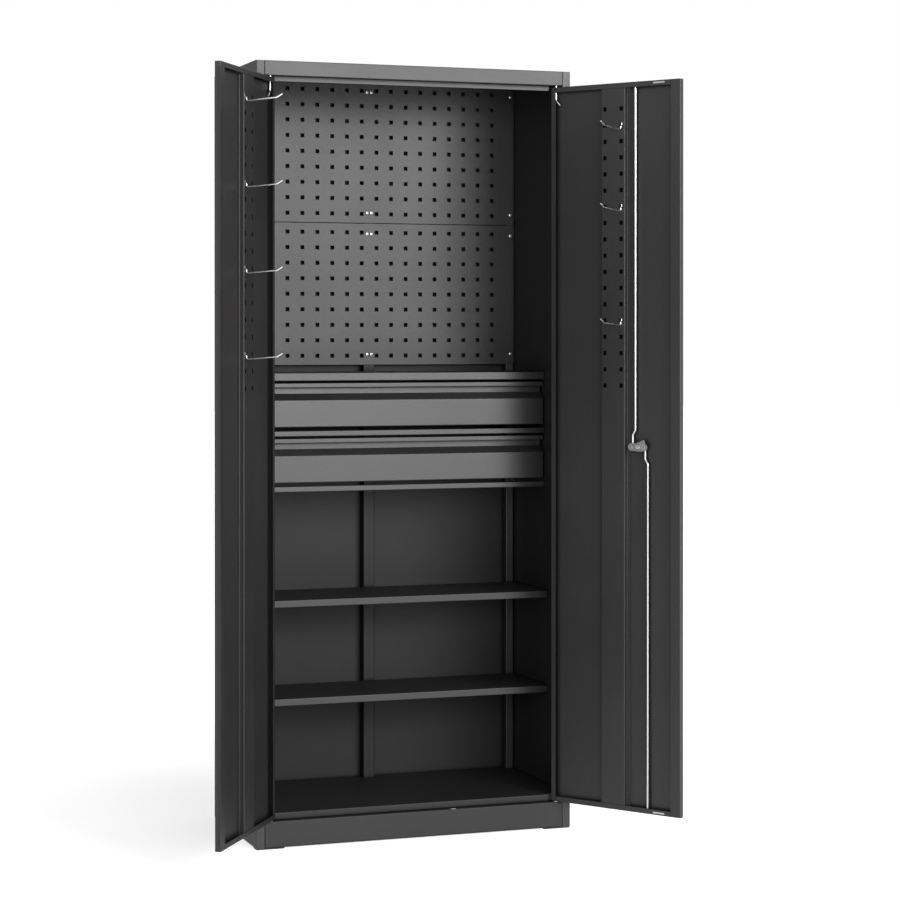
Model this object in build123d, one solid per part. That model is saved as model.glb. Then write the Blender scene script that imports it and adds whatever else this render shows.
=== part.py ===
from build123d import *
import os

# Tool cabinet in folded sheet steel: two pivot-hung doors, two pegboards, two drawers, two shelves.
# Millimetres. X to the right, Y to the back, Z up. The origin is on the floor, under the middle of the
# cabinet. Everything is drawn with the doors shut; each door is then swung open about its own pivot.

# ---------------------------------------------------------------------------------------------------
# Driving sizes
# ---------------------------------------------------------------------------------------------------
# Cabinet body
width = 770.0
depth = 400.0
height = 1800.0
sheet = 1.0  # thickness of every folded sheet
bend = 2.0  # radius of a fold, on the side the section line is drawn
seam = 0.8  # open joint between the fascia or kick plate and the side flanges
front_flange = 20.0  # face of the side panel seen from the front
front_return = 15.0  # fold behind that face
column_width = 23.0  # hollow rear corner column, folded out of the side panel
column_depth = 28.0
column_lip = 18.0
post_width = 29.0  # centre post, folded out of the two back panels
back_flange = 15.0  # fold that joins a back panel to its column
fascia_height = 34.0
kick_top = 63.0
kick_return = 34.0
stop_setback = 18.0  # door stops: how far behind the front plane
top_stop = 11.0  # how far the upper stop hangs below the fascia
bottom_stop = 16.0  # how far the floor stands above the kick plate
stop_end_gap = 46.0  # the stops end this far from the side walls, clear of the swinging door edge
floor_notch = 28.0  # depth of the floor's front corner notches, from the front plane
floor_flange = 14.0

# Feet
foot_height = 3.0
foot_length = 66.0
foot_depth = 30.0
foot_plug = 20.0
foot_corner = 4.0
foot_chamfer = 0.8
plug_clearance = 0.5

# Pegboards
peg_pitch = 38.0
peg_hole = 10.0
peg_columns = 18
peg_rows = 9
peg_margin = 22.0  # from the outer row of holes to the board's edge
peg_top_gap = 0.5
peg_side_gap = 1.0
peg_joint = 2.0
peg_flange = 9.0
screw_inset = 25.0
screw_spread = 5.5  # the paired screws stand this far each side of the middle
screw_radius = 2.0
screw_head = 4.0
screw_head_height = 2.4
screw_length = 6.0

# Drawer unit
unit_top = 1084.0
unit_front = 162.0  # behind the front plane
unit_lip = 19.0
unit_return = 14.0
rail_height = 13.0
drawer_height = 104.0
gap_above_drawer = 5.0
gap_below_drawer = 9.0
drawer_count = 2
drawer_side_gap = 5.0  # from the drawer front's end to the side wall
pull_strip = 11.0  # flat strip above the finger groove
pull_back = 25.5  # down to the lower edge of the groove's rear wall
pull_drop = 41.0  # down to the lower edge of the groove
pull_depth = 20.0
front_end_flange = 12.0
tray_height = 80.0
tray_lift = 8.0  # tray floor above the drawer front's lower edge
tray_hem = 8.0
tray_rear_gap = 6.0
slide_overrun = 1.0  # past the tray's rear wall
slide_lift = 8.0  # slide above the underside of the tray
slide_height = 30.0
slide_width = 12.7
slide_steel = 1.2
slide_lip = 3.5
slide_inner_height = 18.0
slide_inner_depth = 8.7

# Shelves
shelf_tops = (551.0, 320.0)
shelf_front = 138.0  # behind the front plane
shelf_lip = 17.0
shelf_return = 12.0
shelf_side_gap = 1.5
shelf_rear_gap = 1.0
support_length = 26.0
support_ledge = 20.0
support_drop = 24.0
support_inset = 24.0

# Doors
door_thickness = 14.0
door_gap_top = 4.5
door_gap_bottom = 2.5
door_gap_middle = 3.0
door_edge_past_pin = 8.5
door_bend = 1.5
hinge_lip = 12.4
free_lip = 25.5
cross_lip = 12.0
pin_from_flange = 14.0  # pivot line to the inner edge of the side panel's face
pin_behind_face = 5.5
door_opening = 124.0  # degrees
stiffener_near = 133.0  # walls of the top-hat stiffener, from the pivot line
stiffener_far = 198.0
stiffener_flange = 10.0
door_peg_spread = 45.0
door_peg_rows = 18
door_peg_first = 60.0  # top row of holes, below the door's top edge
catch_near = 42.5  # slot in the right door's level lips, from the door's free edge
catch_far = 75.0
catch_width = 4.6
catch_drop = 5.2  # from the door's end to the middle of the slot
catch_plate_lap = 3.0  # plate past each end of the slot
catch_plate_height = 7.2
catch_plate_thickness = 1.2
strip_overlap = 8.0  # meeting strip past the left door's edge
strip_width = 20.0
strip_joggle = 0.6

# Pivots
pivot_radius = 2.5
pivot_fit = 0.05
pivot_above_return = 2.0
pivot_drop = 31.0
pivot_crank = 12.3
pivot_head_radius = 4.0
pivot_head = 2.5
washer_radius = 4.8
washer_thickness = 2.2

# Hooks
wire_radius = 1.7
hook_reach = 70.0
hook_rise = 5.5  # of the arm, from the sheet to its tip
hook_tip = 14.0
hook_tip_rise = 8.0
hook_leg = 15.0  # behind the sheet
hook_drop = 8.0  # in front of it
hook_clearance = 0.1
hook_bend = 3.5
left_hook_rows = (1, 6, 11, 16)  # counted from the top row of holes
right_hook_rows = (2, 7, 14)

# Lock on the right door
lock_from_pin = 234.0
cam_radius = 17.0  # from the spindle to each rod
cam_end = 9.0
cam_thickness = 2.5
cam_back = 11.5  # rear face of the cam, behind the door's outer face
cam_tab = 14.0
rod_radius = 3.0
rod_depth = 7.5
rod_rise = 28.0  # straight length next to the cam
rod_jog = 7.0
rod_jog_height = 11.0
rod_bend = 4.0
rod_tip_gap = 0.5
rod_fit = 0.05
rod_stub = 2.4
clip_radius = 5.5
clip_thickness = 0.9
clip_gap = 0.4
guide_length = 14.0  # slots the rods slide in
guide_width = 7.0
keeper_length = 16.0
keeper_width = 9.0
spindle_radius = 4.0
spindle_fit = 0.05
spindle_square = 6.0
cam_square_gap = 0.05
barrel_radius = 9.0
barrel_depth = 7.0
barrel_gap = 0.2
nut_width = 22.0
nut_height = 3.2
rose_radius = 24.0
rose_height = 6.0
rose_chamfer = 3.0
handle_gap = 0.4
hub_radius = 15.0
hub_height = 15.0
lever_length = 94.0
lever_width = 17.0
lever_tip_width = 13.0
lever_thickness = 8.0
lever_rounding = 2.5
plug_radius = 6.0
plug_depth = 9.0
plug_fit = 0.05
keyway_width = 1.6
keyway_length = 8.0
keyway_depth = 5.0
cam_screw_radius = 6.0
cam_screw_height = 3.0

# ---------------------------------------------------------------------------------------------------
# Places worked out from the sizes
# ---------------------------------------------------------------------------------------------------
side = width / 2  # outer face of the right side panel
wall = side - sheet  # its inner face
front = -depth / 2
rear = depth / 2
flange_edge = side - front_flange
column_x = side - column_width
column_y = rear - column_depth
top_under = height - sheet
fascia_bottom = height - fascia_height
floor_top = kick_top + bottom_stop
stop_y = front + stop_setback
stop_end = wall - stop_end_gap

board_height = 2 * peg_margin + (peg_rows - 1) * peg_pitch
board_tops = (top_under - peg_top_gap, top_under - peg_top_gap - board_height - peg_joint)
board_half = wall - peg_side_gap
board_y = column_y - sheet
board_screw_xs = (-column_x - column_lip * 0.6, -screw_spread, screw_spread, column_x + column_lip * 0.6)

unit_y = front + unit_front
drawer_step = gap_above_drawer + drawer_height + gap_below_drawer + rail_height
drawer_tops = [unit_top - unit_lip - gap_above_drawer - i * drawer_step for i in range(drawer_count)]
unit_bottom = drawer_tops[-1] - drawer_height - gap_below_drawer - rail_height
unit_wall = wall - sheet
tray_half = unit_wall - slide_width
tray_y = unit_y + pull_depth + sheet
tray_rear = column_y - tray_rear_gap

pin_x = flange_edge - pin_from_flange
pin_y = front + pin_behind_face
door_hinge_x = pin_x + door_edge_past_pin
door_free_x = door_gap_middle / 2
door_top = fascia_bottom - door_gap_top
door_bottom = kick_top + door_gap_bottom
door_inner_y = front + door_thickness
stiffener_depth = door_thickness - sheet  # up to the underside of the level lips

peg_row_zs = [door_top - door_peg_first - i * peg_pitch for i in range(door_peg_rows)]
peg_middle = (stiffener_near + stiffener_far) / 2
hook_from_pin = peg_middle + door_peg_spread / 2

lock_x = pin_x - lock_from_pin
lock_z = (door_top + door_bottom) / 2
rod_offset = cam_radius - rod_jog


def folded(points, plane, length, thickness=sheet, radius=bend, both=False):
    """Sheet folded along an open line, with its thickness on the line's left, made to a length."""
    line = FilletPolyline(*points, radius=radius)
    section = make_face(offset(line, thickness, side=Side.LEFT, closed=True).edges())
    return extrude(plane * section, length, both=both)


def box(x0, x1, y0, y1, z0, z1):
    """Block between two corners."""
    return Pos((x0 + x1) / 2, (y0 + y1) / 2, (z0 + z1) / 2) * Box(x1 - x0, y1 - y0, z1 - z0)


def rod_y(x, z, y0, y1, radius):
    """Round bar or hole along Y."""
    return Pos(x, (y0 + y1) / 2, z) * Rot(90, 0, 0) * Cylinder(radius, y1 - y0)


def rod_z(x, y, z0, z1, radius):
    """Round bar or hole along Z."""
    return Pos(x, y, (z0 + z1) / 2) * Cylinder(radius, z1 - z0)


def mirrored(part):
    """The same piece for the left-hand side."""
    solids = [mirror(solid, about=Plane.YZ) for solid in part.solids()]
    return Compound(solids) if len(solids) > 1 else solids[0]


# ---------------------------------------------------------------------------------------------------
# Body shell
# ---------------------------------------------------------------------------------------------------
def board_screw_places():
    """X and Z of every screw that holds the pegboards."""
    heights = []
    for top in board_tops:
        heights += [top - screw_inset, top - board_height + screw_inset]
    return [(x, z) for x in board_screw_xs for z in heights]


def screw_holes():
    """Clearance holes behind the pegboards for their screws."""
    reach = screw_length + sheet
    radius = screw_radius + pivot_fit
    return [rod_y(x, z, board_y, board_y + reach, radius) for x, z in board_screw_places()]


def side_panel():
    """Right side: front face and return, wall, and the hollow corner column with its lip."""
    line = [
        (flange_edge, front + front_return),
        (flange_edge, front),
        (side, front),
        (side, rear),
        (column_x, rear),
        (column_x, column_y),
        (column_x + column_lip, column_y),
    ]
    panel = folded(line, Plane.XY.offset(foot_height), top_under - foot_height)
    return panel - screw_holes()


def back_panel():
    """Right half of the back, with its half of the centre post."""
    rib = post_width / 2 - sheet
    line = [
        (column_x, rear - back_flange),
        (column_x, rear),
        (rib, rear),
        (rib, column_y + sheet),
        (seam / 2, column_y + sheet),
    ]
    panel = folded(line, Plane.XY.offset(foot_height), top_under - foot_height)
    return panel - screw_holes()


def pivot_holes(z):
    """Holes for both doors' pivot pins through a level flange."""
    radius = pivot_radius + pivot_fit
    return [rod_z(x, pin_y, z - 2 * sheet, z + 2 * sheet, radius) for x in (-pin_x, pin_x)]


def keeper_slot(x, z):
    """Slot that the end of a lock rod enters."""
    return Pos(x, front + rod_depth, z) * extrude(SlotOverall(keeper_length, keeper_width), 4 * sheet, both=True)


def top_panel():
    """Top sheet over the sides and back, with the fascia, pivot flange and door stop folded down."""
    line = [
        (rear, height),
        (front, height),
        (front, fascia_bottom),
        (stop_y, fascia_bottom),
        (stop_y, fascia_bottom - top_stop),
    ]
    panel = folded(line, Plane.YZ, flange_edge - seam, both=True)
    panel += box(-side, side, front + bend, rear, top_under, height)
    for sign in (-1, 1):
        ends = sorted((sign * stop_end, sign * side))
        panel -= box(*ends, stop_y - bend, stop_y + bend + sheet, fascia_bottom - 2 * top_stop, fascia_bottom)
    panel -= pivot_holes(fascia_bottom)
    return panel - keeper_slot(lock_x + rod_offset, fascia_bottom)


def kick_plate():
    """Channel with folded ends that closes the front under the doors and carries their lower pivots."""
    line = [
        (front + kick_return, kick_top),
        (front, kick_top),
        (front, foot_height),
        (front + front_return, foot_height),
    ]
    half = flange_edge - seam
    plate = folded(line, Plane.YZ, half, both=True)
    for x in (-half, half - sheet):
        plate += box(x, x + sheet, front + sheet, front + front_return, foot_height + sheet, kick_top - sheet)
    plate -= pivot_holes(kick_top)
    return plate - keeper_slot(lock_x - cam_radius - rod_jog, kick_top)


def floor_panel():
    """Raised floor: door stop at its front, flanges against the side walls, cut round the columns."""
    line = [
        (rear - sheet, floor_top),
        (stop_y, floor_top),
        (stop_y, kick_top),
        (front + kick_return, kick_top),
    ]
    panel = folded(line, Plane.YZ, stop_end, both=True)
    panel += box(-wall, wall, front + floor_notch, rear - sheet, floor_top - sheet, floor_top)
    for x in (-wall, wall - sheet):
        panel += box(x, x + sheet, front + floor_notch, column_y, floor_top - floor_flange, floor_top)
    column = column_x - bend
    post = post_width / 2 + bend
    for x0, x1 in ((-wall, -column), (column, wall), (-post, post)):
        panel -= box(x0, x1, column_y, rear, floor_top - 2 * sheet, floor_top)
    return panel


def foot(x0, x1, y0, y1):
    """Moulded corner foot: a pad under the corner and a plug up inside the folded section."""
    pad_x = max(x0, x1) - foot_length
    inner = y0 < 0
    pad_y0 = front if inner else rear - foot_depth
    pad = box(pad_x, side, pad_y0, pad_y0 + foot_depth, 0, foot_height)
    pad = fillet(pad.edges().filter_by(Axis.Z), foot_corner)
    pad = chamfer(pad.faces().sort_by(Axis.Z)[0].edges(), foot_chamfer)
    plug = box(x0 + plug_clearance, x1 - plug_clearance, y0 + plug_clearance, y1 - plug_clearance, 0,
               foot_height + foot_plug)
    plug = fillet(plug.edges().filter_by(Axis.Z), bend)
    return pad + plug


def front_foot():
    """Right front foot, in the channel behind the side panel's face."""
    return foot(flange_edge + sheet, wall, front + sheet, front + front_return)


def rear_foot():
    """Right rear foot, in the corner column."""
    return foot(column_x + sheet, wall, column_y + sheet, rear - sheet)


# ---------------------------------------------------------------------------------------------------
# Pegboards
# ---------------------------------------------------------------------------------------------------
def pegboard(top):
    """Board of square holes, with its long edges folded back between the columns and the post."""
    bottom = top - board_height
    middle = (top + bottom) / 2
    grid = GridLocations(peg_pitch, peg_pitch, peg_columns, peg_rows)
    holes = [(place * Rectangle(peg_hole, peg_hole)).wire() for place in grid]
    radius = screw_radius + pivot_fit
    holes += [(Pos(x, z - middle) * Circle(radius)).wire() for x, z in board_screw_places() if bottom < z < top]
    face = Face(Rectangle(2 * board_half, board_height).wire(), holes)
    board = Pos(0, column_y, middle) * extrude(Plane.XZ * face, sheet)
    inner = post_width / 2 + peg_side_gap
    outer = column_x - peg_side_gap
    for x0, x1 in ((-outer, -inner), (inner, outer)):
        for z in (bottom, top - sheet):
            board += box(x0, x1, board_y, column_y + peg_flange, z, z + sheet)
    return board


def pan_screw(x, z):
    """Pan-head screw through a pegboard into the column or post behind it."""
    shank = rod_y(x, z, board_y, board_y + screw_length, screw_radius)
    head = rod_y(x, z, board_y - screw_head_height, board_y, screw_head)
    head = chamfer(head.edges().sort_by(Axis.Y)[0], screw_head_height * 0.45)
    return shank + head


def pegboard_screws():
    """All the screws that hold the two boards."""
    return Compound([pan_screw(x, z) for x, z in board_screw_places()])


# ---------------------------------------------------------------------------------------------------
# Drawer unit
# ---------------------------------------------------------------------------------------------------
def unit_top_panel():
    """Top of the drawer unit, with the deep front lip."""
    line = [
        (column_y - sheet, unit_top - unit_return),
        (column_y - sheet, unit_top),
        (unit_y, unit_top),
        (unit_y, unit_top - unit_lip),
        (unit_y + unit_return, unit_top - unit_lip),
    ]
    return folded(line, Plane.YZ, unit_wall, both=True)


def unit_side():
    """Plate against the right wall that the slides and rails are fixed to."""
    line = [(wall, unit_y + sheet), (wall, column_y - sheet), (wall - unit_return, column_y - sheet)]
    return folded(line, Plane.XY.offset(unit_bottom), unit_top - unit_return - unit_bottom)


def unit_rail(top):
    """Cross rail under a drawer."""
    line = [
        (unit_y + unit_return, top),
        (unit_y, top),
        (unit_y, top - rail_height),
        (unit_y + unit_return, top - rail_height),
    ]
    return folded(line, Plane.YZ, unit_wall, both=True)


def drawer_front(top):
    """One bent sheet: flat strip, finger groove with a sloping floor, then the face."""
    bottom = top - drawer_height
    groove_y = unit_y + pull_depth
    line = [
        (groove_y, top),
        (unit_y, top),
        (unit_y, top - pull_strip),
        (groove_y, top - pull_strip),
        (groove_y, top - pull_back),
        (unit_y, top - pull_drop),
        (unit_y, bottom),
        (groove_y, bottom),
    ]
    half = wall - drawer_side_gap
    panel = folded(line, Plane.YZ, half, both=True)
    for x in (-half, half - sheet):
        panel += box(x, x + sheet, unit_y + sheet / 2, unit_y + front_end_flange, bottom + sheet / 2,
                     top - pull_drop - pull_depth / 2)
    return panel


def drawer_tray(top):
    """Drawer box: floor and sides in one sheet with hemmed edges, front and rear walls let in."""
    bottom = top - drawer_height + tray_lift
    rim = bottom + tray_height
    line = [
        (-tray_half + tray_hem, rim),
        (-tray_half, rim),
        (-tray_half, bottom),
        (tray_half, bottom),
        (tray_half, rim),
        (tray_half - tray_hem, rim),
    ]
    tray = folded(line, Plane.XZ.offset(-tray_rear), tray_rear - tray_y)
    inside = tray_half - sheet
    for y in (tray_y, tray_rear - sheet):
        tray += box(-inside, inside, y, y + sheet, bottom + sheet, rim - sheet)
    tray += box(-inside, inside, tray_rear - tray_hem, tray_rear, rim - sheet, rim)
    return tray


def slide_piece(points, middle):
    """Right-hand slide section, from distances off the unit's wall and heights off its own middle."""
    line = [(unit_wall - away, middle + up) for away, up in points]
    end = tray_rear + slide_overrun
    return folded(line, Plane.XZ.offset(-end), end - tray_y, slide_steel, slide_steel * 1.3)


def slide_middle(top):
    """Height of the slides of the drawer with this top edge."""
    return top - drawer_height + tray_lift + slide_lift + slide_height / 2


def outer_slides():
    """Right-hand fixed slide members, one for each drawer."""
    half = slide_height / 2
    deep = slide_inner_depth + slide_steel
    points = [(deep, slide_lip - half), (deep, -half), (0, -half), (0, half), (deep, half), (deep, half - slide_lip)]
    return Compound([slide_piece(points, slide_middle(top)) for top in drawer_tops])


def inner_slide(top):
    """Right-hand slide member that travels with a drawer."""
    half = slide_inner_height / 2
    tip = slide_width - slide_inner_depth
    points = [(tip, half), (slide_width, half), (slide_width, -half), (tip, -half)]
    return slide_piece(points, slide_middle(top))


# ---------------------------------------------------------------------------------------------------
# Shelves
# ---------------------------------------------------------------------------------------------------
def support_ys():
    """Middles of the front and rear shelf brackets."""
    return (front + shelf_front + support_inset + support_length / 2,
            column_y - support_inset - support_length / 2)


def shelf(top):
    """Shelf with a returned front lip, a rear flange, and side flanges cut away over the brackets."""
    y0 = front + shelf_front
    y1 = column_y - shelf_rear_gap
    half = wall - shelf_side_gap
    line = [
        (y1, top - shelf_lip),
        (y1, top),
        (y0, top),
        (y0, top - shelf_lip),
        (y0 + shelf_return, top - shelf_lip),
    ]
    board = folded(line, Plane.YZ, half, both=True)
    for x in (-half, half - sheet):
        board += box(x, x + sheet, y0 + bend, y1 - bend, top - shelf_lip, top - sheet / 2)
        for y in support_ys():
            reach = support_length / 2 + bend
            board -= box(x - 1, x + sheet + 1, y - reach, y + reach, top - 2 * shelf_lip, top - sheet)
    return board


def shelf_supports():
    """Angle brackets that carry the shelves on the side walls."""
    brackets = []
    for top in shelf_tops:
        under = top - sheet
        line = [(wall, under - support_drop), (wall, under), (wall - support_ledge, under)]
        for y in support_ys():
            right = folded(line, Plane.XZ.offset(-y), support_length / 2, both=True)
            brackets += [right, mirrored(right)]
    return Compound(brackets)


# ---------------------------------------------------------------------------------------------------
# Doors, drawn shut, right-hand side
# ---------------------------------------------------------------------------------------------------
def door_skin():
    """Door pan: face, four flanges and four inner lips, the level lips butting on the upright ones."""
    outer = box(door_free_x, door_hinge_x, front, door_inner_y, door_bottom, door_top)
    inner = box(door_free_x + sheet, door_hinge_x - sheet, front + sheet, door_inner_y - sheet,
                door_bottom + sheet, door_top - sheet)
    pan = fillet(outer.edges(), door_bend) - fillet(inner.edges(), door_bend - sheet)
    x0 = door_free_x + free_lip
    x1 = door_hinge_x - hinge_lip
    y0 = door_inner_y - 1.5 * sheet
    z0 = door_bottom + cross_lip
    z1 = door_top - cross_lip
    pan -= box(x0, x1, y0, door_inner_y + sheet, z0, z1)
    for x in (x0, x1 - seam):
        for z in (door_bottom + door_bend, z1):
            pan -= box(x, x + seam, y0, door_inner_y + sheet, z, z + cross_lip - door_bend)
    return pan - [rod_z(pin_x, pin_y, z - 2 * sheet, z + 2 * sheet, pivot_radius + pivot_fit)
                  for z in (door_bottom, door_top)]


def stiffener():
    """Top-hat section inside the door, with two columns of square holes for hooks."""
    near = pin_x - stiffener_near
    far = pin_x - stiffener_far
    low = front + 2 * sheet
    high = front + stiffener_depth
    line = [
        (near + stiffener_flange, low),
        (near, low),
        (near, high),
        (far, high),
        (far, low),
        (far - stiffener_flange, low),
    ]
    bottom = door_bottom + 2 * sheet
    hat = folded(line, Plane.XY.offset(bottom), door_top - 2 * sheet - bottom, radius=door_bend)
    middle = (peg_row_zs[0] + peg_row_zs[-1]) / 2
    grid = Sketch() + GridLocations(door_peg_spread, peg_pitch, 2, door_peg_rows) * Rectangle(peg_hole, peg_hole)
    return hat - Pos(pin_x - peg_middle, high, middle) * extrude(Plane.XZ * grid, 2 * sheet, both=True)


def top_pivot():
    """Cranked wire that hangs the door: up through its top flange into the fascia's flange."""
    low = door_top - pivot_drop
    x = pin_x - pivot_crank
    points = [
        (pin_x, pin_y, fascia_bottom + sheet + pivot_above_return),
        (pin_x, pin_y, low),
        (x, pin_y, low - pivot_crank),
    ]
    return round_bar(points, pivot_radius, 2 * pivot_radius)


def bottom_pivot():
    """Headed pin down through the door's bottom flange into the kick plate's flange."""
    pin = rod_z(pin_x, pin_y, kick_top - sheet - pivot_above_return, door_bottom + sheet, pivot_radius)
    return pin + rod_z(pin_x, pin_y, door_bottom + sheet, door_bottom + sheet + pivot_head, pivot_head_radius)


def pivot_washer():
    """Washer between the kick plate and the right door."""
    ring = rod_z(pin_x, pin_y, kick_top, kick_top + washer_thickness, washer_radius)
    return ring - rod_z(pin_x, pin_y, 0, height, pivot_radius + pivot_fit)


def round_bar(points, radius, bends):
    """Wire or bar bent along a line."""
    path = FilletPolyline(*points, radius=bends)
    return sweep(Plane(path @ 0, z_dir=path % 0) * Circle(radius), path=path)


def hook(row):
    """Wire hook in the second column of the stiffener, one leg held behind the sheet."""
    z = peg_row_zs[row - 1] - peg_hole / 2 + wire_radius + hook_clearance
    x = pin_x - hook_from_pin
    face = front + stiffener_depth
    behind = face - sheet - wire_radius - hook_clearance
    before = face + wire_radius + hook_clearance
    points = [
        (x, behind, z + hook_leg),
        (x, behind, z),
        (x, before, z),
        (x, before, z - hook_drop),
        (x, before + hook_reach, z - hook_drop + hook_rise),
        (x, before + hook_reach + hook_tip, z - hook_drop + hook_rise + hook_tip_rise),
    ]
    tight = (before - behind) / 2 - hook_clearance
    return round_bar(points, wire_radius, [tight, tight, hook_bend, 2 * hook_bend])


def hooks(rows):
    """All the hooks of one door."""
    return Compound([hook(row) for row in rows])


def meeting_strip():
    """Strip behind the left door's free edge, stepped to lie clear of the right door's lip."""
    lip_y = door_inner_y
    line = [
        (door_free_x + strip_width - strip_overlap, lip_y + sheet),
        (door_free_x + strip_joggle, lip_y + sheet),
        (door_free_x, lip_y + sheet + strip_joggle),
        (door_free_x - strip_overlap, lip_y + sheet + strip_joggle),
    ]
    section = make_face(offset(Polyline(*line), sheet, side=Side.LEFT, closed=True).edges())
    low = door_bottom + cross_lip
    return extrude(Plane.XY.offset(low) * section, door_top - cross_lip - low)


def swung(part, side):
    """Right (+1) or left (-1) door piece turned open about its own pivot line."""
    pivot = Pos(side * pin_x, pin_y, 0)
    return pivot * Rot(0, 0, side * door_opening) * pivot.inverse() * part


# ---------------------------------------------------------------------------------------------------
# Lock, on the right door drawn shut
# ---------------------------------------------------------------------------------------------------
def at_lock(part):
    """Piece drawn about the spindle, +Z toward the cabinet's front, put in its place on the door."""
    return Pos(lock_x, front, lock_z) * Rot(90, 0, 0) * part


def rose():
    """Round plate behind the handle, bevelled, bored for the spindle."""
    plate = Pos(0, 0, rose_height / 2) * Cylinder(rose_radius, rose_height)
    plate = chamfer(plate.edges().group_by(Axis.Z)[-1], rose_chamfer)
    return at_lock(plate - Cylinder(spindle_radius + spindle_fit, 4 * rose_height))


def barrel():
    """Threaded sleeve through the door that guides the spindle."""
    sleeve = Pos(0, 0, -barrel_depth / 2) * Cylinder(barrel_radius, barrel_depth)
    return at_lock(sleeve - Cylinder(spindle_radius + spindle_fit, 4 * barrel_depth))


def barrel_nut():
    """Hexagon nut that clamps the barrel on the inside of the door."""
    nut = extrude(RegularPolygon(nut_width / 2, 6, major_radius=False) - Circle(barrel_radius), nut_height)
    return at_lock(Pos(0, 0, -sheet - nut_height) * nut)


def spindle():
    """Shaft from the handle to the cam, square where the cam sits."""
    top = rose_height + handle_gap
    square = cam_back - sheet / 2
    shaft = Pos(0, 0, (top - square) / 2) * Cylinder(spindle_radius, top + square)
    tail = Pos(0, 0, -square) * extrude(Rectangle(spindle_square, spindle_square), -cam_thickness)
    return at_lock(shaft + tail)


def cam():
    """Plate that pushes both rods: two holed arms and a stop lobe beside the free-edge arm."""
    plate = SlotCenterToCenter(2 * cam_radius, 2 * cam_end) + Circle(cam_end + sheet)
    lobe = Pos(-cam_radius * 0.62, cam_end * 0.75) * Rot(0, 0, -24) * RectangleRounded(cam_tab * 1.5, cam_tab, bend)
    plate += lobe
    plate -= Locations((-cam_radius, 0), (cam_radius, 0)) * Circle(rod_radius + rod_fit)
    square = spindle_square + 2 * cam_square_gap
    plate -= Rectangle(square, square)
    return at_lock(Pos(0, 0, -cam_back - cam_thickness) * extrude(plate, cam_thickness))


def cam_screw():
    """Screw and washer that hold the cam on the spindle."""
    low = -cam_back - cam_thickness
    head = Pos(0, 0, low) * extrude(Circle(cam_screw_radius), -sheet)
    head += Pos(0, 0, low - sheet) * extrude(RegularPolygon(cam_screw_radius * 0.85, 6), -cam_screw_height)
    return at_lock(head)


def lever():
    """L-handle: round hub over the rose, tapered lever toward the free edge, bored for the key plug."""
    low = rose_height + handle_gap
    hub = Pos(0, 0, low) * extrude(Circle(hub_radius), hub_height)
    hub = fillet(hub.edges().group_by(Axis.Z)[-1], lever_rounding)
    half = lever_width / 2
    tip = lever_tip_width / 2
    outline = Polyline((0, -half), (-lever_length, -tip), (-lever_length, tip), (0, half), close=True)
    arm = extrude(make_face(outline.edges()), lever_thickness)
    arm = fillet(arm.edges().filter_by(Axis.Z).group_by(Axis.X)[0], tip * 0.8)
    arm = fillet(arm.edges().group_by(Axis.Z)[-1], lever_rounding)
    handle = hub + Pos(0, 0, low + hub_height - lever_thickness - lever_rounding) * arm
    bore = Pos(0, 0, low + hub_height - plug_depth) * extrude(Circle(plug_radius + plug_fit), 2 * plug_depth)
    return at_lock(handle - bore)


def key_plug():
    """Cylinder in the handle's hub with its key slot."""
    top = rose_height + handle_gap + hub_height
    plug = Pos(0, 0, top - plug_depth + pivot_fit) * extrude(Circle(plug_radius), plug_depth)
    plug -= Pos(0, 0, top) * Box(keyway_width, keyway_length, 2 * keyway_depth)
    return at_lock(plug)


def lock_rod(side, tip):
    """Rod from the cam to the door's end: +1 up from the hinge-side hole, -1 down from the other."""
    x = lock_x + side * cam_radius
    y = front + rod_depth
    stub = front + cam_back + cam_thickness + rod_stub
    jog = lock_z + side * rod_rise
    points = [
        (x, stub, lock_z),
        (x, y, lock_z),
        (x, y, jog),
        (x - rod_jog, y, jog + side * rod_jog_height),
        (x - rod_jog, y, tip),
    ]
    return round_bar(points, rod_radius, [rod_bend, 2 * rod_bend, 2 * rod_bend])


def rod_clip(side):
    """Spring clip that keeps a rod's bent end in the cam."""
    low = front + cam_back + cam_thickness + clip_gap
    x = lock_x + side * cam_radius
    ring = rod_y(x, lock_z, low, low + clip_thickness, clip_radius)
    return ring - rod_y(x, lock_z, low - 1, low + 2, rod_radius)


def lock_door_skin():
    """Right door pan with the barrel hole, the rod guide slots and the slots for the catch plates."""
    pan = door_skin() - rod_y(lock_x, lock_z, front - 1, front + 2 * sheet, barrel_radius + barrel_gap)
    y = front + rod_depth
    places = ((door_top, lock_x + cam_radius - rod_jog), (door_bottom, lock_x - cam_radius - rod_jog))
    for z, x in places:
        pan -= Pos(x, y, z) * extrude(SlotOverall(guide_length, guide_width), 2 * sheet, both=True)
    for z in catch_heights():
        slot = box(door_free_x + catch_near, door_free_x + catch_far, door_inner_y - 1.5 * sheet,
                   door_inner_y + sheet, z - catch_width / 2, z + catch_width / 2)
        pan -= slot
    return pan


def catch_heights():
    """Middle heights of the catch slots, in the upper and the lower lip."""
    return (door_top - catch_drop, door_bottom + catch_drop)


def catch_plates():
    """Steel plates behind the catch slots, fixed to the inside of the lips."""
    x0 = door_free_x + catch_near - catch_plate_lap
    x1 = door_free_x + catch_far + catch_plate_lap
    back = door_inner_y - sheet
    half = catch_plate_height / 2
    return Compound([box(x0, x1, back - catch_plate_thickness, back, z - half, z + half)
                     for z in catch_heights()])


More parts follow.
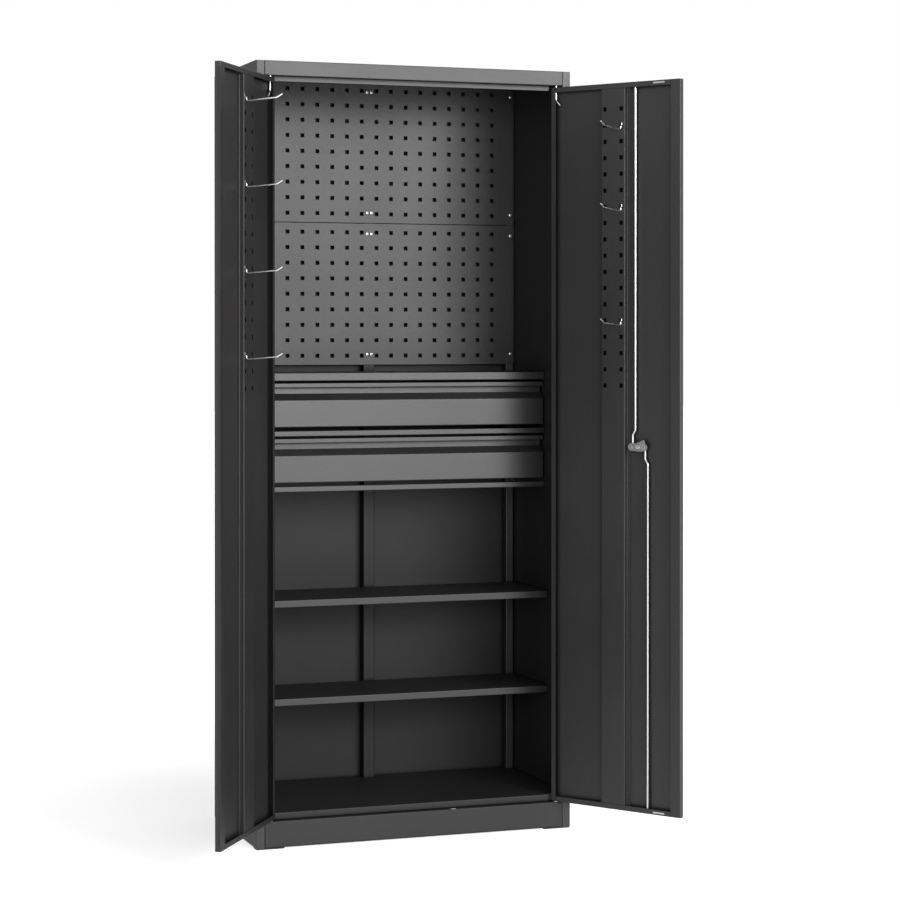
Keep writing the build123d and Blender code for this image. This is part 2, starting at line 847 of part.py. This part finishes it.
# ---------------------------------------------------------------------------------------------------
# All pieces
# ---------------------------------------------------------------------------------------------------
def shell_pieces():
    """Pieces of the body shell."""
    return {
        "side_panel_right": side_panel(),
        "side_panel_left": mirrored(side_panel()),
        "back_panel_right": back_panel(),
        "back_panel_left": mirrored(back_panel()),
        "top_panel": top_panel(),
        "kick_plate": kick_plate(),
        "floor_panel": floor_panel(),
        "foot_front_right": front_foot(),
        "foot_front_left": mirrored(front_foot()),
        "foot_rear_right": rear_foot(),
        "foot_rear_left": mirrored(rear_foot()),
        "pegboard_upper": pegboard(board_tops[0]),
        "pegboard_lower": pegboard(board_tops[1]),
        "pegboard_screws": pegboard_screws(),
        "shelf_upper": shelf(shelf_tops[0]),
        "shelf_lower": shelf(shelf_tops[1]),
        "shelf_supports": shelf_supports(),
        "pivot_washers": Compound([pivot_washer(), mirrored(pivot_washer())]),
    }


def drawer_pieces():
    """Drawer unit, and both drawers with their slides."""
    pieces = {
        "unit_top": unit_top_panel(),
        "unit_side_right": unit_side(),
        "unit_side_left": mirrored(unit_side()),
        "slides_right": outer_slides(),
        "slides_left": mirrored(outer_slides()),
    }
    for name, top in zip(("upper", "lower"), drawer_tops):
        pieces[f"unit_rail_{name}"] = unit_rail(top - drawer_height - gap_below_drawer)
        pieces[f"drawer_{name}_front"] = drawer_front(top)
        pieces[f"drawer_{name}_tray"] = drawer_tray(top)
        pieces[f"drawer_{name}_slide_right"] = inner_slide(top)
        pieces[f"drawer_{name}_slide_left"] = mirrored(inner_slide(top))
    return pieces


def door_pieces():
    """Both doors, swung open."""
    right = {
        "skin": lock_door_skin(),
        "stiffener": stiffener(),
        "hooks": hooks(right_hook_rows),
        "pivot_top": top_pivot(),
        "pivot_bottom": bottom_pivot(),
        "rose": rose(),
        "barrel": barrel(),
        "nut": barrel_nut(),
        "catch_plates": catch_plates(),
    }
    left = {
        "skin": door_skin(),
        "stiffener": stiffener(),
        "hooks": hooks(left_hook_rows),
        "pivot_top": top_pivot(),
        "pivot_bottom": bottom_pivot(),
        "meeting_strip": meeting_strip(),
    }
    pieces = {f"door_right_{name}": swung(part, 1) for name, part in right.items()}
    for name, part in left.items():
        pieces[f"door_left_{name}"] = swung(mirrored(part), -1)
    return pieces


def lock_pieces():
    """Moving parts of the lock, carried round with the right door."""
    pieces = {
        "handle_lever": lever(),
        "handle_spindle": spindle(),
        "lock_cam": cam(),
        "cam_screw": cam_screw(),
        "key_plug": key_plug(),
        "rod_upper": lock_rod(1, door_top - rod_tip_gap),
        "rod_upper_clip": rod_clip(1),
        "rod_lower": lock_rod(-1, door_bottom + rod_tip_gap),
        "rod_lower_clip": rod_clip(-1),
    }
    return {name: swung(part, 1) for name, part in pieces.items()}


def main():
    os.makedirs("parts", exist_ok=True)
    pieces = shell_pieces() | drawer_pieces() | door_pieces() | lock_pieces()
    for name, part in pieces.items():
        export_step(part, f"parts/{name}.step")


if __name__ == "__main__":
    main()
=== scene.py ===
import math
import bmesh
import bpy
from mathutils import Matrix, Vector


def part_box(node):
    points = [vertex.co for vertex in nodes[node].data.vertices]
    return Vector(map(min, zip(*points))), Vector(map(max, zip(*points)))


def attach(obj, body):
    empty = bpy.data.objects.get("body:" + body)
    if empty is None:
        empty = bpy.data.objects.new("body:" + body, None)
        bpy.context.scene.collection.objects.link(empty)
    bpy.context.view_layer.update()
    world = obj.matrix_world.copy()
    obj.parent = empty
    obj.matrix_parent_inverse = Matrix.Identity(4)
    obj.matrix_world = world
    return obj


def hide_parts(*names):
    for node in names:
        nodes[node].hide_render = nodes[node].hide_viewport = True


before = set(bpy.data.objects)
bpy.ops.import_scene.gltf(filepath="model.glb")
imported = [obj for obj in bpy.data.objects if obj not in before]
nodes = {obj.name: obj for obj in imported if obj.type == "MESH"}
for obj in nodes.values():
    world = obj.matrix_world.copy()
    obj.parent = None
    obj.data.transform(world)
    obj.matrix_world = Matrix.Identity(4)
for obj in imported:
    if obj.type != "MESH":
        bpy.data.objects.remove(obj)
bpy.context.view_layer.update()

# Studio. A white sweep of floor, three soft boxes to the right of the camera at different heights, one
# beside it, a weak one on the left and one far right for the edges. The camera stands to the left,
# chest high, with a long lens.
FILL = 0.24  # light of the white surroundings on the cabinet
PAPER = 0.93
GLOW_NEAR = 0.66  # the paper's own light round the cabinet, where its shadow still shows
GLOW_FAR = 1.0
GLOW_START = 0.5
GLOW_END = 2.0
AIM = (0, -0.2, 1.0)

camera = bpy.data.objects.new("camera", bpy.data.cameras.new("camera"))
bpy.context.scene.collection.objects.link(camera)
camera.location = (-1.788, -5.534, 1.177)
camera.rotation_euler = (math.radians(89.80), 0, math.radians(-19.54))
camera.data.lens = 96.64
camera.data.sensor_width = 36
camera.data.shift_x = -0.0104
camera.data.shift_y = -0.120
camera.data.clip_end = 60
bpy.context.scene.camera = camera
bpy.context.scene.view_settings.view_transform = "Standard"


def shade(tree, kind, **values):
    """New shader node with its sockets set."""
    node = tree.nodes.new(kind)
    for name, value in values.items():
        node.inputs[name.replace("_", " ")].default_value = value
    return node


def arithmetic(tree, operation, first, second):
    """Sum, product or larger of two values, the second a socket or a plain number."""
    step = tree.nodes.new("ShaderNodeMath")
    step.operation = operation
    tree.links.new(first, step.inputs[0])
    if hasattr(second, "node"):
        tree.links.new(second, step.inputs[1])
    else:
        step.inputs[1].default_value = second
    return step.outputs[0]


def seen_white(tree):
    """Value of 1 for rays that look at the background straight, in a reflection or through something."""
    rays = tree.nodes.new("ShaderNodeLightPath").outputs
    seen = arithmetic(tree, "MAXIMUM", rays["Is Camera Ray"], rays["Is Glossy Ray"])
    return arithmetic(tree, "MAXIMUM", seen, rays["Is Transmission Ray"])


world = bpy.data.worlds.new("studio")
bpy.context.scene.world = world
world.use_nodes = True
air = world.node_tree
air.nodes.clear()
fill = shade(air, "ShaderNodeBackground", Color=(1, 1, 1, 1), Strength=FILL)
white = shade(air, "ShaderNodeBackground", Color=(1, 1, 1, 1), Strength=1.0)
either = air.nodes.new("ShaderNodeMixShader")
sky = air.nodes.new("ShaderNodeOutputWorld")
air.links.new(seen_white(air), either.inputs[0])
air.links.new(fill.outputs[0], either.inputs[1])
air.links.new(white.outputs[0], either.inputs[2])
air.links.new(either.outputs[0], sky.inputs[0])


def soft_box(name, place, size, power):
    """Rectangular lamp aimed at the middle of the cabinet."""
    lamp = bpy.data.lights.new(name, "AREA")
    lamp.shape = "RECTANGLE"
    lamp.size, lamp.size_y = size
    lamp.energy = power
    lamp_object = bpy.data.objects.new(name, lamp)
    bpy.context.scene.collection.objects.link(lamp_object)
    lamp_object.location = place
    away = Vector(AIM) - Vector(place)
    lamp_object.rotation_euler = away.to_track_quat("-Z", "Y").to_euler()


soft_box("front_light", (1.2, -5.2, 1.7), (2.0, 2.0), 90)
soft_box("high_light", (1.5, -4.4, 2.6), (2.0, 2.0), 70)
soft_box("right_light", (2.6, -4.6, 2.4), (1.2, 1.2), 60)
soft_box("near_light", (-0.8, -5.6, 1.9), (1.6, 1.6), 80)
soft_box("left_light", (-3.4, -3.6, 1.8), (1.0, 2.6), 20)
soft_box("edge_light", (3.6, -2.6, 1.8), (1.0, 2.6), 40)

ground = bpy.data.meshes.new("studio_floor")
ground.from_pydata([(-30, -30, 0), (30, -30, 0), (30, 30, 0), (-30, 30, 0)], [], [(0, 1, 2, 3)])
floor_object = bpy.data.objects.new("studio_floor", ground)
bpy.context.scene.collection.objects.link(floor_object)
paper = bpy.data.materials.new("studio_paper")
paper.use_nodes = True
sheet_tree = paper.node_tree
sheet_tree.nodes.clear()
matt = shade(sheet_tree, "ShaderNodeBsdfDiffuse", Color=(PAPER, PAPER, PAPER, 1))
glow = shade(sheet_tree, "ShaderNodeEmission", Color=(1, 1, 1, 1))
spot = sheet_tree.nodes.new("ShaderNodeTexCoord")
distance = sheet_tree.nodes.new("ShaderNodeVectorMath")
distance.operation = "LENGTH"
fade = shade(sheet_tree, "ShaderNodeMapRange", From_Min=GLOW_START, From_Max=GLOW_END, To_Min=GLOW_NEAR,
             To_Max=GLOW_FAR)
fade.interpolation_type = "SMOOTHSTEP"
lit = sheet_tree.nodes.new("ShaderNodeAddShader")
pick = sheet_tree.nodes.new("ShaderNodeMixShader")
result = sheet_tree.nodes.new("ShaderNodeOutputMaterial")
for source, target in ((spot.outputs["Object"], distance.inputs[0]),
                       (distance.outputs["Value"], fade.inputs["Value"]),
                       (fade.outputs["Result"], glow.inputs["Strength"]),
                       (matt.outputs[0], lit.inputs[0]),
                       (glow.outputs[0], lit.inputs[1]),
                       (seen_white(sheet_tree), pick.inputs[0]),
                       (matt.outputs[0], pick.inputs[1]),
                       (lit.outputs[0], pick.inputs[2]),
                       (pick.outputs[0], result.inputs[0])):
    sheet_tree.links.new(source, target)
ground.materials.append(paper)

# Side panels. Each is one sheet of 1 mm steel folded round from the front face to the rear corner
# column, powder coated charcoal with a fine texture. The coat is defined here and used on every sheet.
COAT = (0.0159, 0.0150, 0.0153)
COAT_LIGHT = (0.0205, 0.0194, 0.0198)
COAT_RUBBED = (0.058, 0.056, 0.057)
COAT_SHADE = (0.007, 0.007, 0.007)  # painted shade for inside corners and narrow gaps
COAT_SHEEN = 0.53
COAT_SHEEN_FLAT = 0.10  # seen along the surface, where the texture hides its own highlights
COAT_SHEEN_SHADED = 0.35  # share of the sheen left where shade is painted into an inside corner
CLOUD_SCALE = 2.6
GRAIN_SCALE = 900.0
GRAIN_DEPTH = 0.00003
PEEL_SCALE = 260.0
PEEL_DEPTH = 0.00009
WEAR_SCALE = 38.0
WEAR_WIDTH = 0.0009
WEAR_EDGE = (0.98, 0.80)  # how far the two normals agree where the wear starts and where it is full
WEAR_PATCH = (0.50, 0.66)
SHADE_REACH = 0.012
SHADE_OPEN = (0.44, 0.86)  # how open a fully shaded corner is, and a plain face, for the painted shade
MASK_SAMPLES = 6
SMOOTH_ANGLE = math.radians(35)


def noise(tree, scale, detail=2.0, stretch=(1, 1, 1), seed=0.0):
    """Solid noise in metres, drawn out along an axis where stretch is small."""
    place = tree.nodes.new("ShaderNodeTexCoord")
    spread = tree.nodes.new("ShaderNodeMapping")
    spread.inputs["Location"].default_value = (seed, seed * 0.7, seed * 1.3)
    spread.inputs["Scale"].default_value = stretch
    field = shade(tree, "ShaderNodeTexNoise", Scale=scale, Detail=detail)
    tree.links.new(place.outputs["Object"], spread.inputs["Vector"])
    tree.links.new(spread.outputs["Vector"], field.inputs["Vector"])
    return field.outputs["Fac"]


def ramp(tree, source, low, high, start, end):
    """Source between low and high, spread from start to end."""
    scaled = shade(tree, "ShaderNodeMapRange", From_Min=low, From_Max=high, To_Min=start, To_Max=end)
    tree.links.new(source, scaled.inputs["Value"])
    return scaled.outputs["Result"]


def blend_colours(tree, factor, first, second):
    """Mix of two colours, each a socket or a plain colour."""
    mix = tree.nodes.new("ShaderNodeMix")
    mix.data_type = "RGBA"
    colour_a, colour_b = mix.inputs[6], mix.inputs[7]
    tree.links.new(factor, mix.inputs[0])
    for socket, value in ((colour_a, first), (colour_b, second)):
        if hasattr(value, "node"):
            tree.links.new(value, socket)
        else:
            socket.default_value = (*value, 1)
    return mix.outputs[2]


def raised(tree, *layers):
    """Chain of bumps, each a height socket with its depth in metres."""
    normal = None
    for height, depth in layers:
        bump = shade(tree, "ShaderNodeBump", Strength=1.0, Distance=depth)
        tree.links.new(height, bump.inputs["Height"])
        if normal is not None:
            tree.links.new(normal, bump.inputs["Normal"])
        normal = bump.outputs["Normal"]
    return normal


def edge_wear(tree, width, patches):
    """Mask of worn corners: where a rounded normal leaves the face's own, broken up by patches."""
    soft = shade(tree, "ShaderNodeBevel", Radius=width)
    soft.samples = MASK_SAMPLES
    plain = tree.nodes.new("ShaderNodeNewGeometry")
    dot = tree.nodes.new("ShaderNodeVectorMath")
    dot.operation = "DOT_PRODUCT"
    tree.links.new(soft.outputs["Normal"], dot.inputs[0])
    tree.links.new(plain.outputs["Normal"], dot.inputs[1])
    edge = ramp(tree, dot.outputs["Value"], *WEAR_EDGE, 0.0, 1.0)
    return arithmetic(tree, "MULTIPLY", edge, ramp(tree, patches, *WEAR_PATCH, 0.0, 1.0))


def painted_shade(tree, reach):
    """Mask for painted shade in inside corners and narrow gaps, from how much of the surroundings they see.
    """
    corner = shade(tree, "ShaderNodeAmbientOcclusion", Distance=reach)
    corner.samples = MASK_SAMPLES
    return ramp(tree, corner.outputs["AO"], *SHADE_OPEN, 1.0, 0.0)


def material(name):
    """New material, its node tree and its Principled shader."""
    made = bpy.data.materials.new(name)
    made.use_nodes = True
    return made, made.node_tree, made.node_tree.nodes["Principled BSDF"]


def powder_coat(name, seed, rubbed=0.35, gloss=0.44, sheen=COAT_SHEEN, reach=SHADE_REACH):
    """Charcoal powder coat: orange peel, slight clouding, rubbed corners, and painted shade in inside corners
    that also dims the sheen there. Rubbed is how pale the corners are, gloss the roughness, and reach how far
    the painted shade spreads from a corner."""
    made, tree, shader = material(name)
    cloud = noise(tree, CLOUD_SCALE, 3.0, seed=seed)
    grain = noise(tree, GRAIN_SCALE, 1.0, seed=seed)
    peel = noise(tree, PEEL_SCALE, 2.0, seed=seed)
    broad = blend_colours(tree, ramp(tree, cloud, 0.35, 0.65, 0.0, 1.0), COAT, COAT_LIGHT)
    fleck = blend_colours(tree, ramp(tree, grain, 0.55, 0.75, 0.0, 0.4), broad, COAT_RUBBED)
    wear = edge_wear(tree, WEAR_WIDTH, noise(tree, WEAR_SCALE, 3.0, seed=seed + 5))
    worn = blend_colours(tree, arithmetic(tree, "MULTIPLY", wear, rubbed), fleck, COAT_RUBBED)
    # Painted shade: the coat and its sheen are darkened in inside corners and narrow gaps, where shade falls.
    shade_mask = painted_shade(tree, reach)
    tree.links.new(blend_colours(tree, shade_mask, worn, COAT_SHADE), shader.inputs["Base Color"])
    tree.links.new(ramp(tree, cloud, 0.3, 0.7, gloss - 0.03, gloss + 0.05), shader.inputs["Roughness"])
    slant = shade(tree, "ShaderNodeLayerWeight", Blend=0.5)
    across = ramp(tree, slant.outputs["Facing"], 0.40, 0.70, sheen, COAT_SHEEN_FLAT)
    level = arithmetic(tree, "MULTIPLY", across, ramp(tree, shade_mask, 0.0, 1.0, 1.0, COAT_SHEEN_SHADED))
    shader.inputs["Specular IOR Level"].default_value = sheen
    tree.links.new(level, shader.inputs["Specular IOR Level"])
    tree.links.new(raised(tree, (peel, PEEL_DEPTH), (grain, GRAIN_DEPTH)), shader.inputs["Normal"])
    return made


def dress(piece, made):
    """Gives a piece its material and smooth folds between flat faces."""
    piece.data.materials.clear()
    piece.data.materials.append(made)
    for face in piece.data.polygons:
        face.use_smooth = True
        face.material_index = 0
    with bpy.context.temp_override(object=piece, selected_objects=[piece], selected_editable_objects=[piece],
                                   active_object=piece):
        bpy.ops.object.shade_smooth_by_angle(angle=SMOOTH_ANGLE)
    flats = piece.modifiers.new("flats", "WEIGHTED_NORMAL")
    flats.keep_sharp = True


def finish(name, made):
    """Dresses a node of the frame."""
    dress(nodes[name], made)


for side, seed in (("right", 1.0), ("left", 2.0)):
    finish(f"side_panel_{side}", powder_coat(f"side_coat_{side}", seed, reach=0.006))

# Back panels. Two sheets that fold forward into the centre post and back into the corner columns, in
# the same coat. The narrow joint down the post is closed from behind by a bead of painted sealer.
SHEET = 0.001
BEAD_HALF = 0.0016
BEAD_HEIGHT = 0.0010
BEAD_END = 0.002  # stops short of the post's ends
BEAD_SUNK = SHEET / 3  # its face, behind the post's

for side, seed in (("right", 3.0), ("left", 4.0)):
    finish(f"back_panel_{side}", powder_coat(f"back_coat_{side}", seed, rubbed=0.2, gloss=0.54, sheen=0.22))


def added(name, work):
    """New object of a finished bmesh, which is freed."""
    made = bpy.data.meshes.new(name)
    work.to_mesh(made)
    work.free()
    piece = bpy.data.objects.new(name, made)
    bpy.context.scene.collection.objects.link(piece)
    return piece


(joint_half, post_face, post_foot), (_, _, post_top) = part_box("back_panel_right")
behind = post_face + SHEET
bead_outline = [(-BEAD_HALF, behind), (-joint_half, behind), (-joint_half, post_face + BEAD_SUNK),
                (joint_half, post_face + BEAD_SUNK), (joint_half, behind)]
bead_outline += [(BEAD_HALF * math.cos(a), behind + BEAD_HEIGHT * math.sin(a))
                 for a in (math.radians(step) for step in range(0, 180, 20))]
bead = bmesh.new()
foot_ring = [bead.verts.new((x, y, post_foot + BEAD_END)) for x, y in bead_outline]
top_ring = [bead.verts.new((x, y, post_top - BEAD_END)) for x, y in bead_outline]
for k in range(len(bead_outline)):
    bead.faces.new((foot_ring[k - 1], foot_ring[k], top_ring[k], top_ring[k - 1]))
bead.faces.new(foot_ring)
bead.faces.new(top_ring)
bmesh.ops.recalc_face_normals(bead, faces=bead.faces)
post_bead = added("post_bead", bead)
dress(post_bead, powder_coat("bead_coat", 3.5, rubbed=0.2, gloss=0.54, sheen=0.22))
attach(post_bead, "carcass")

# Top panel. One sheet for the roof, the plain fascia, the flange that takes the door pivots and the
# upper door stop.
finish("top_panel", powder_coat("top_coat", 5.0, gloss=0.45))

# Kick plate and raised floor. The kick plate closes the front under the doors and takes their lower
# pivots; the floor's front edge is the lower door stop. Feet and shoes rub both.
finish("kick_plate", powder_coat("kick_coat", 6.0, rubbed=0.6, gloss=0.52, sheen=0.34))
finish("floor_panel", powder_coat("floor_coat", 7.0, rubbed=0.5, gloss=0.54, sheen=0.32))

# Feet and pivot washers. Moulded black feet plugged into the corners, and natural nylon washers that
# the doors turn on.
FOOT_BLACK = (0.007, 0.007, 0.0075)
NYLON = (0.68, 0.67, 0.62)
SCUFF_SCALE = 60.0
SPARK_SCALE = 1400.0
SPARK_DEPTH = 0.00004


def moulded(name, colour, dull, seed):
    """Moulded plastic with a spark-eroded grain and a little scuffing."""
    made, tree, shader = material(name)
    scuff = noise(tree, SCUFF_SCALE, 4.0, seed=seed)
    grain = noise(tree, SPARK_SCALE, 1.0, seed=seed)
    paler = tuple(min(1.0, c * 1.5 + 0.01) for c in colour)
    tree.links.new(blend_colours(tree, ramp(tree, scuff, 0.45, 0.75, 0.0, 1.0), colour, paler),
                   shader.inputs["Base Color"])
    tree.links.new(ramp(tree, scuff, 0.3, 0.7, dull - 0.08, dull + 0.08), shader.inputs["Roughness"])
    tree.links.new(raised(tree, (grain, SPARK_DEPTH)), shader.inputs["Normal"])
    return made


foot_plastic = moulded("foot_plastic", FOOT_BLACK, 0.66, 8.0)
for corner in ("front_right", "front_left", "rear_right", "rear_left"):
    finish(f"foot_{corner}", foot_plastic)
finish("pivot_washers", moulded("washer_nylon", NYLON, 0.42, 9.0))

# Pegboards. Two punched boards of square holes, their long edges folded back, screwed to the columns
# and the centre post.
board_coat = powder_coat("pegboard_coat", 10.0, rubbed=0.5, sheen=0.46)
finish("pegboard_upper", board_coat)
finish("pegboard_lower", board_coat)

# Board screws. Sixteen zinc-plated pan-head screws with a cross recess, driven through the boards'
# plain edges into the columns and the centre post.
SCREW_HEAD = 0.0040  # radius
SCREW_DOME = 0.0024  # height of the head
SCREW_RIM = 0.0007
SCREW_SHANK = 0.0020
SCREW_LENGTH = 0.0060
RECESS_REACH = 0.0023  # length of one arm of the cross
RECESS_WIDTH = 0.0010
RECESS_DEPTH = 0.0017
RECESS_CLEAR = 0.0004  # the bit starts this far above the head
RECESS_TIP = (0.3, 0.6)  # length and width of an arm at the bottom, as shares of those at the top
SCREW_STEPS = 40
TWIST = 37  # degrees from one screw's recess to the next
WELD = 0.00001
FINE_WELD = 0.000001
ZINC = (0.74, 0.75, 0.77)
ZINC_SHADE = (0.10, 0.10, 0.10)  # painted shade in the corners and between parts
ZINC_SHADE_REACH = 0.005
PLATE_CLOUD_SCALE = 45.0
DRAWN_SCALE = 1500.0
DRAWN_DEPTH = 0.000015


def zinc(name, seed, stretch=(1, 1, 1), gloss=0.24, tone=ZINC):
    """Bright zinc plate: clouded, faintly yellow in places, with fine drawing lines and painted shade in its
    corners.
    """
    made, tree, shader = material(name)
    cloud = noise(tree, PLATE_CLOUD_SCALE, 3.0, seed=seed)
    lines = noise(tree, DRAWN_SCALE, 2.0, stretch=stretch, seed=seed)
    warm = (tone[0], tone[1] * 0.975, tone[2] * 0.90)
    plate = blend_colours(tree, ramp(tree, cloud, 0.42, 0.72, 0.0, 0.7), tone, warm)
    # Painted shade darkens the plate in corners and between parts, where shade falls.
    tree.links.new(blend_colours(tree, painted_shade(tree, ZINC_SHADE_REACH), plate, ZINC_SHADE),
                   shader.inputs["Base Color"])
    shader.inputs["Metallic"].default_value = 1.0
    tree.links.new(ramp(tree, lines, 0.3, 0.7, gloss - 0.05, gloss + 0.10), shader.inputs["Roughness"])
    tree.links.new(raised(tree, (lines, DRAWN_DEPTH)), shader.inputs["Normal"])
    return made


def turned_blank():
    """Screw before its recess is struck, spun round the Y axis with its head towards -Y."""
    profile = [(0, SCREW_LENGTH), (SCREW_SHANK * 0.6, SCREW_LENGTH), (SCREW_SHANK, SCREW_LENGTH * 0.8),
               (SCREW_SHANK, 0), (SCREW_HEAD, 0)]
    profile += [(SCREW_HEAD * math.cos(a), -SCREW_RIM - (SCREW_DOME - SCREW_RIM) * math.sin(a))
                for a in (math.radians(step) for step in range(0, 90, 15))]
    profile.append((0, -SCREW_DOME))
    work = bmesh.new()
    line = [work.verts.new((radius, y, 0)) for radius, y in profile]
    edges = [work.edges.new(pair) for pair in zip(line, line[1:])]
    bmesh.ops.spin(work, geom=line + edges, axis=(0, 1, 0), cent=(0, 0, 0), angle=math.tau, steps=SCREW_STEPS)
    bmesh.ops.remove_doubles(work, verts=work.verts, dist=FINE_WELD)
    bmesh.ops.recalc_face_normals(work, faces=work.faces)
    return added("blank", work)


def cross_bit():
    """The driver's cross tip, which narrows towards its end."""
    work = bmesh.new()
    rings = []
    tip_arm, tip_width = RECESS_REACH * RECESS_TIP[0], RECESS_WIDTH * RECESS_TIP[1]
    for y, arm, width in ((-SCREW_DOME - RECESS_CLEAR, RECESS_REACH, RECESS_WIDTH),
                          (RECESS_DEPTH - SCREW_DOME, tip_arm, tip_width)):
        half = width / 2
        quarter = ((half, arm), (half, half), (arm, half))
        turns = [Matrix.Rotation(-k * math.pi / 2, 2) for k in range(4)]
        ring = [turn @ Vector(point) for turn in turns for point in quarter]
        rings.append([work.verts.new((x, y, z)) for x, z in ring])
    outer, inner = rings
    work.faces.new(outer)
    work.faces.new(inner)
    for k in range(len(outer)):
        work.faces.new((outer[k], outer[k - 1], inner[k - 1], inner[k]))
    bmesh.ops.recalc_face_normals(work, faces=work.faces)
    return added("bit", work)


def in_order(mesh):
    """The same mesh with its points and faces in a fixed order, which a cut doesn't keep by itself."""
    points = sorted({tuple(vertex.co) for vertex in mesh.vertices})
    rank = {point: k for k, point in enumerate(points)}
    faces = []
    for face in mesh.polygons:
        ring = [rank[tuple(mesh.vertices[k].co)] for k in face.vertices]
        start = ring.index(min(ring))
        faces.append(ring[start:] + ring[:start])
    ordered = bpy.data.meshes.new(f"{mesh.name}_in_order")
    ordered.from_pydata(points, [], sorted(faces))
    return ordered


def pan_screw():
    """Mesh of one screw, with the face that its head sits on at Y = 0."""
    blank, bit = turned_blank(), cross_bit()
    cut = blank.modifiers.new("recess", "BOOLEAN")
    cut.object = bit
    cut.solver = "EXACT"
    struck = bpy.data.meshes.new_from_object(blank.evaluated_get(bpy.context.evaluated_depsgraph_get()))
    for tool in (blank, bit):
        bpy.data.objects.remove(tool)
    return in_order(struck)


def lumps(node):
    """Lowest and highest corner of each separate lump of a node, from the left and from below."""
    work = bmesh.new()
    work.from_mesh(node.data)
    bmesh.ops.remove_doubles(work, verts=work.verts, dist=WELD)
    left = set(work.verts)
    found = []
    while left:
        lump, edge = set(), [min(left, key=lambda v: v.index)]
        while edge:
            vert = edge.pop()
            if vert not in lump:
                lump.add(vert)
                edge += [e.other_vert(vert) for e in vert.link_edges]
        left -= lump
        spread = [[v.co[k] for v in lump] for k in range(3)]
        found.append((Vector(map(min, spread)), Vector(map(max, spread))))
    work.free()
    return sorted(found, key=lambda box: (box[0].x, box[0].z))


one_screw = pan_screw()
driven = bmesh.new()
for count, (low_corner, high_corner) in enumerate(lumps(nodes["pegboard_screws"])):
    known = len(driven.verts)
    driven.from_mesh(one_screw)
    driven.verts.ensure_lookup_table()
    middle = (low_corner + high_corner) / 2
    seat = Matrix.Translation((middle.x, low_corner.y + SCREW_DOME, middle.z))
    twist = Matrix.Rotation(math.radians(count * TWIST % 90), 4, "Y")
    bmesh.ops.transform(driven, matrix=seat @ twist, verts=driven.verts[known:])
bmesh.ops.remove_doubles(driven, verts=driven.verts, dist=FINE_WELD)  # points that the cut leaves together
board_screws = added("board_screws", driven)
dress(board_screws, zinc("screw_zinc", 11.0, gloss=0.42))
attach(board_screws, "carcass")
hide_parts("pegboard_screws")

# Drawer unit. Top sheet with its deep lip, two side plates and two cross rails, all spot welded into
# a box that hangs between the side walls.
unit_coat = powder_coat("unit_coat", 12.0, gloss=0.37, reach=0.006)
for name in ("unit_top", "unit_side_right", "unit_side_left", "unit_rail_upper", "unit_rail_lower"):
    finish(name, unit_coat)

# Drawers. Each front is one bent sheet with a finger groove; the tray behind it runs on zinc-plated
# two-member slides.
for level, seed in (("upper", 13.0), ("lower", 14.0)):
    finish(f"drawer_{level}_front", powder_coat(f"drawer_{level}_coat", seed, gloss=0.375, reach=0.006))
    finish(f"drawer_{level}_tray", powder_coat(f"tray_{level}_coat", seed + 0.5, rubbed=0.5))
slide_zinc = zinc("slide_zinc", 15.0, stretch=(1, 0.02, 1), gloss=0.34)
for name in ("slides_right", "slides_left", "drawer_upper_slide_right", "drawer_upper_slide_left",
             "drawer_lower_slide_right", "drawer_lower_slide_left"):
    finish(name, slide_zinc)

# Shelves. Sheets folded down at the front and back, resting on short angle brackets on the side
# walls. Boxes slide over them, so their edges are rubbed.
finish("shelf_upper", powder_coat("shelf_upper_coat", 16.0, rubbed=0.5, gloss=0.48, sheen=0.44))
finish("shelf_lower", powder_coat("shelf_lower_coat", 17.0, rubbed=0.5, gloss=0.48, sheen=0.46))
finish("shelf_supports", powder_coat("bracket_coat", 18.0, rubbed=0.3))

# Doors. Folded pans with a top-hat stiffener welded inside; the left one carries the meeting strip
# that the right one shuts against.
# The doors' larger reach widens the painted shade along their lips and stiffeners.
for side, seed in (("right", 19.0), ("left", 21.0)):
    finish(f"door_{side}_skin",
           powder_coat(f"door_{side}_coat", seed, rubbed=0.6, sheen=0.44, reach=0.018))
    finish(f"door_{side}_stiffener",
           powder_coat(f"stiffener_{side}_coat", seed + 1, rubbed=0.4, sheen=0.44, reach=0.003))
finish("door_left_meeting_strip", powder_coat("strip_coat", 23.0, rubbed=0.5))

# Catch plates. Two small zinc-plated plates behind the slots in the level lips of the right door,
# near its free edge.
finish("door_right_catch_plates", zinc("catch_zinc", 28.0, gloss=0.36, tone=(0.50, 0.51, 0.52)))

# Pivots and hooks. Pins bent from zinc-plated wire that the doors turn on, and bent wire hooks pushed
# into the stiffeners' square holes.
wire_zinc = zinc("wire_zinc", 24.0, stretch=(1, 1, 0.05))
for side in ("right", "left"):
    finish(f"door_{side}_pivot_top", wire_zinc)
    finish(f"door_{side}_pivot_bottom", wire_zinc)
    finish(f"door_{side}_hooks", wire_zinc)

# Lock. A die-cast handle on a round rose outside, and inside a stamped cam that moves two bent rods.
# The rods are drawn wire; the pins, clips and key plug are polished, the cam and nut dull.
rod_zinc = zinc("rod_zinc", 25.0, stretch=(1, 1, 0.03), gloss=0.22, tone=(0.47, 0.48, 0.49))
stamped_zinc = zinc("stamped_zinc", 26.0, gloss=0.34, tone=(0.36, 0.36, 0.37))
pin_zinc = zinc("pin_zinc", 29.0, gloss=0.20, tone=(0.82, 0.82, 0.83))
for name in ("rod_upper", "rod_lower"):
    finish(name, rod_zinc)
for name in ("lock_cam", "door_right_barrel", "door_right_nut"):
    finish(name, stamped_zinc)
for name in ("cam_screw", "rod_upper_clip", "rod_lower_clip", "handle_spindle", "key_plug"):
    finish(name, pin_zinc)
handle_coat = powder_coat("handle_coat", 27.0, rubbed=0.7, gloss=0.34)
for name in ("handle_lever", "door_right_rose"):
    finish(name, handle_coat)
